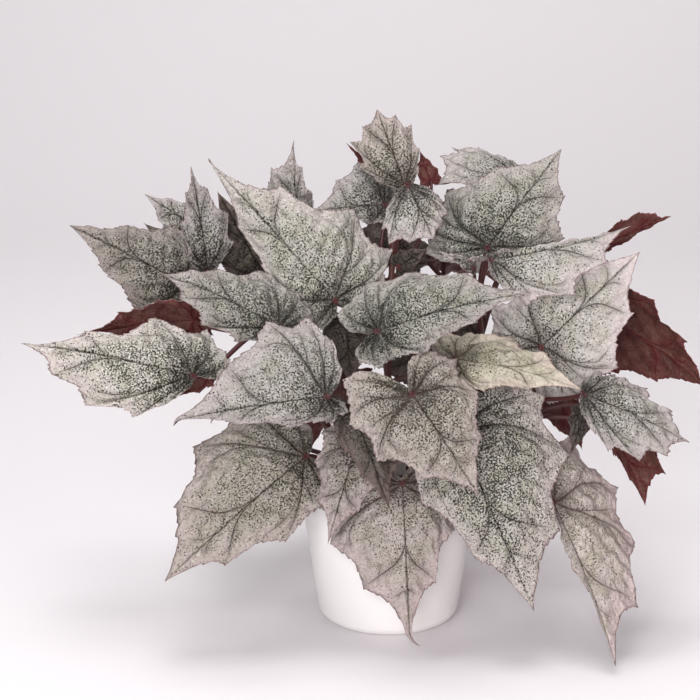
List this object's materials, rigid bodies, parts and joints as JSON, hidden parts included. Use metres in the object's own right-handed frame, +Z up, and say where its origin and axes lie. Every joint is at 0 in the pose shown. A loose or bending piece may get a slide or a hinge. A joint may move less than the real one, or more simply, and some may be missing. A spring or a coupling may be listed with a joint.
{
  "type": "potted rex begonia",
  "caption": "Potted rex begonia: pointed silver-grey leaves with maroon undersides on dark red stems, rooted in soil in a plain round white pot.",
  "frame": {"origin": "centre of the pot's flat base, on the surface that it stands on", "axes": "+Z up; the plant's front, as in the picture, looks along -Y, and +X is to the right of someone who faces it"},
  "size_m": [0.6632, 0.3956, 0.4972],
  "materials": {
    "pot": "smooth satin white",
    "soil": "loose dark potting mix",
    "cane": "dark red-brown stem, jointed, slightly hairy",
    "leaf": "silver-grey upper side with dark speckle and green-grey veins, maroon underside, dark red petiole"
  },
  "bodies": {
    "root": {"cane_back_left": "cane", "cane_back_right": "cane", "cane_centre": "cane", "cane_front_left": "cane", "cane_front_right": "cane", "cane_left": "cane", "cane_right": "cane", "leaf_back_centre": "leaf", "leaf_back_left_high": "leaf", "leaf_back_left_low": "leaf", "leaf_back_left_middle": "leaf", "leaf_back_right_high": "leaf", "leaf_back_right_low": "leaf", "leaf_back_right_middle": "leaf", "leaf_centre": "leaf", "leaf_centre_right": "leaf", "leaf_crown_curled": "leaf", "leaf_crown_small": "leaf", "leaf_far_left": "leaf", "leaf_far_left_lobe": "leaf", "leaf_far_left_underside": "leaf", "leaf_front_centre": "leaf", "leaf_front_dark": "leaf", "leaf_front_hanging": "leaf", "leaf_front_left_small": "leaf", "leaf_front_right_large": "leaf", "leaf_inner_left": "leaf", "leaf_inner_right": "leaf", "leaf_inner_top": "leaf", "leaf_left_crown": "leaf", "leaf_left_crown_behind": "leaf", "leaf_left_hanging": "leaf", "leaf_left_inner_dark": "leaf", "leaf_left_middle": "leaf", "leaf_left_upper": "leaf", "leaf_right_far": "leaf", "leaf_right_hanging": "leaf", "leaf_right_high": "leaf", "leaf_right_high_underside": "leaf", "leaf_right_inner": "leaf", "leaf_right_low": "leaf", "leaf_right_low_underside": "leaf", "leaf_right_middle": "leaf", "leaf_side_left": "leaf", "leaf_side_right": "leaf", "leaf_top": "leaf", "leaf_top_arched": "leaf", "leaf_top_back": "leaf", "leaf_top_hanging": "leaf", "leaf_top_left": "leaf", "leaf_top_left_underside": "leaf", "leaf_top_right_underside": "leaf", "leaf_under_centre_right": "leaf", "leaf_upper_left": "leaf", "leaf_upper_left_behind": "leaf", "leaf_upper_left_inner": "leaf", "leaf_upper_left_upright": "leaf", "leaf_upper_right": "leaf", "pot": "pot", "potting_soil": "soil"}
  },
  "joints": []
}
